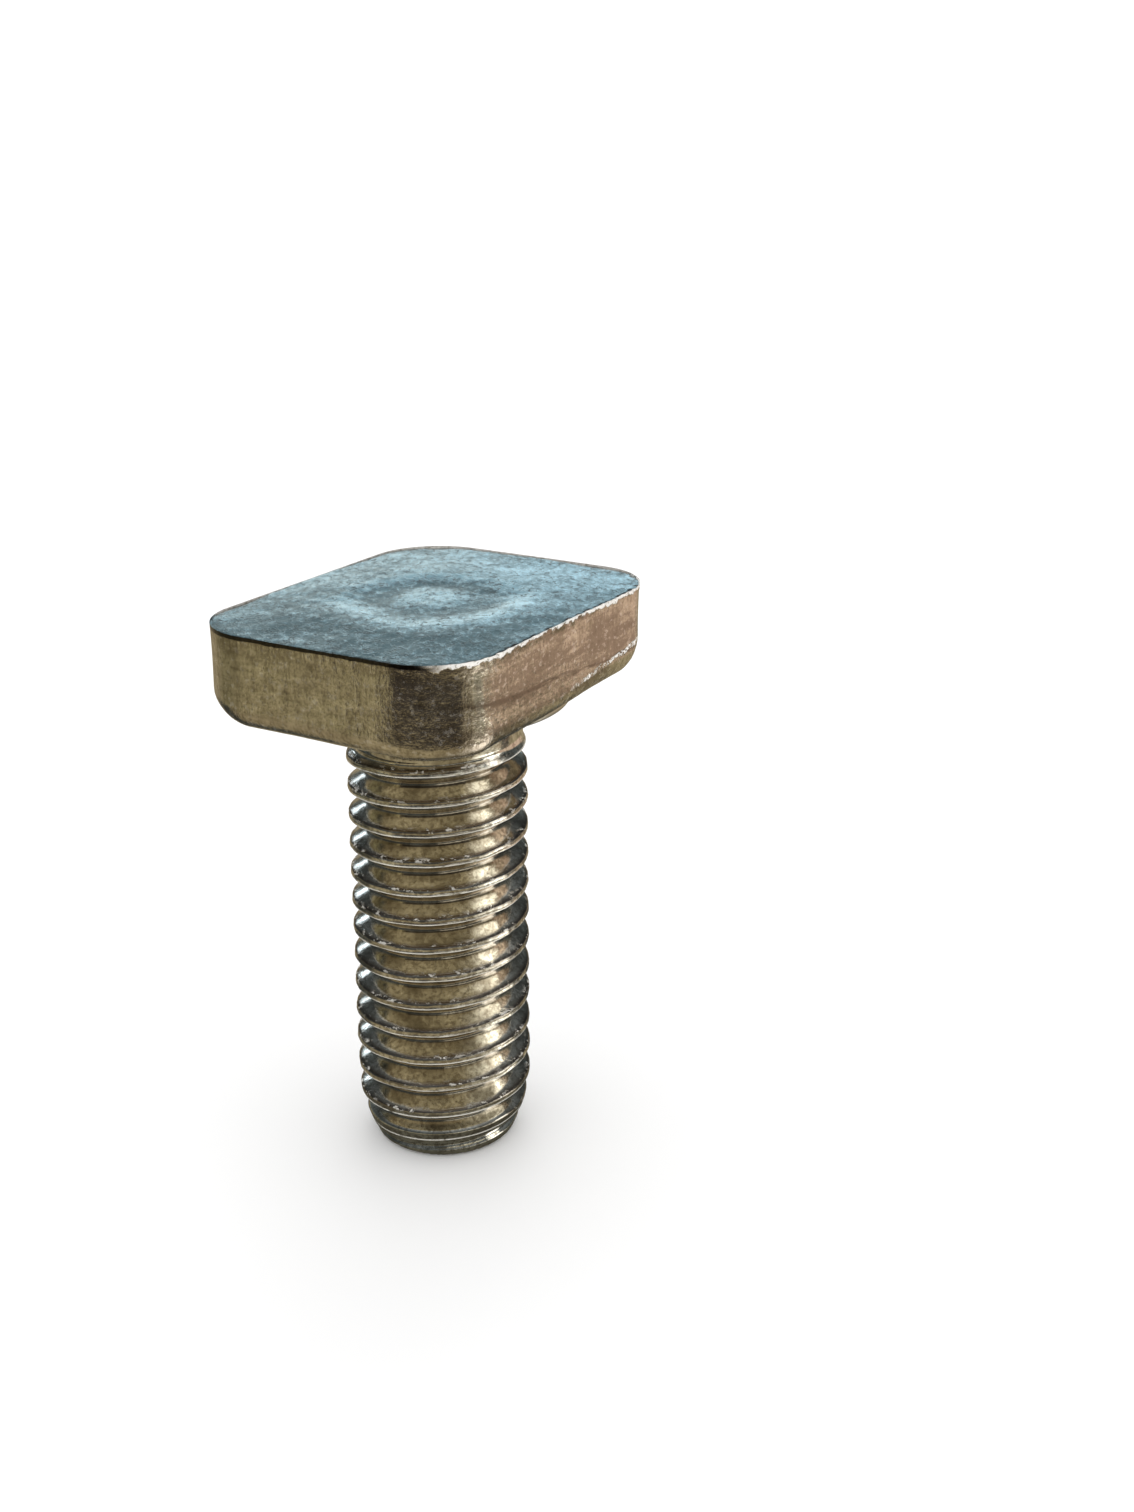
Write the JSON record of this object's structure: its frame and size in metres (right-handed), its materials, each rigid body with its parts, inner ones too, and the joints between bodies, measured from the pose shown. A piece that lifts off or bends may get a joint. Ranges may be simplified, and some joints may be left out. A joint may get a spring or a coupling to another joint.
{
  "type": "square head bolt",
  "caption": "Forged bolt with a thick rounded-square head on a low round bearing face and a right-hand thread that runs up to a short plain neck.",
  "frame": {"origin": "centre of the threaded end face, on the axis of the shank", "axes": "+Z along the shank towards the head, X and Y along the sides of the head, Y along its longer side"},
  "size_m": [0.0098, 0.0128, 0.0188],
  "materials": {
    "stainless": "satin, as forged and rolled"
  },
  "bodies": {
    "root": {"bolt": "stainless"}
  },
  "joints": []
}
